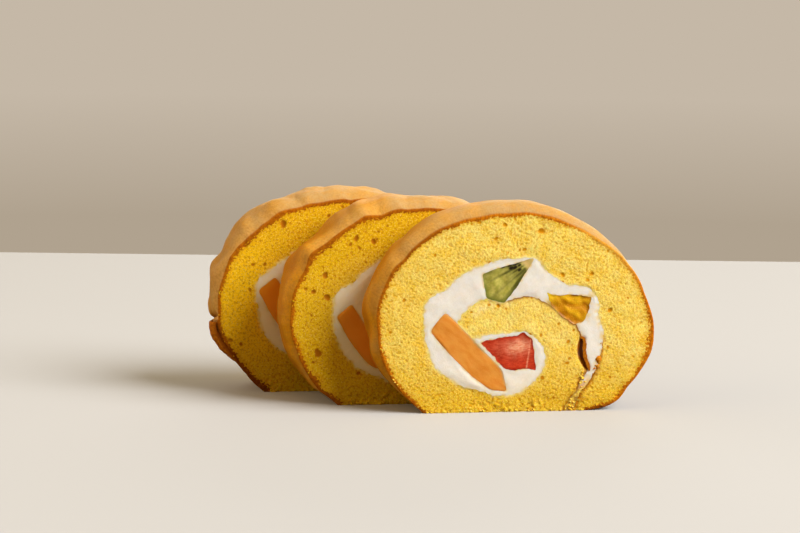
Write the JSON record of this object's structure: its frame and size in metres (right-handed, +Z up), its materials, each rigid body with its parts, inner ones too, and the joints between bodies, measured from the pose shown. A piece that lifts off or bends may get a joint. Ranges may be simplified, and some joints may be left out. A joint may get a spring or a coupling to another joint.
{
  "type": "swiss roll cake",
  "caption": "Fruit and cream swiss roll, cut into thick slices that stand close together in a fanned row.",
  "frame": {"origin": "on the surface the slices stand on, under the middle of the whole row's box", "axes": "+Z up; +X to the right along the cut faces; -Y is the way the front slice's cut face looks"},
  "size_m": [0.1797, 0.0855, 0.0866],
  "materials": {
    "sponge": "fine yellow crumb with a browned tan crust round it",
    "cream": "soft off-white whipped cream",
    "melon": "moist orange melon flesh",
    "strawberry": "moist red flesh, paler towards its middle",
    "kiwi": "moist olive-green flesh with dark seeds",
    "citrus": "moist amber pulp in long sacs"
  },
  "bodies": {
    "root": {"sponge_front": "sponge", "cream_front": "cream", "cream_front_2": "cream", "melon_front": "melon", "strawberry_front": "strawberry", "kiwi_front": "kiwi", "citrus_front": "citrus", "sponge_middle": "sponge", "cream_middle": "cream", "cream_middle_2": "cream", "melon_middle": "melon", "strawberry_middle": "strawberry", "kiwi_middle": "kiwi", "citrus_middle": "citrus", "sponge_rear": "sponge", "cream_rear": "cream", "melon_rear": "melon", "strawberry_rear": "strawberry", "kiwi_rear": "kiwi", "citrus_rear": "citrus"}
  },
  "joints": []
}
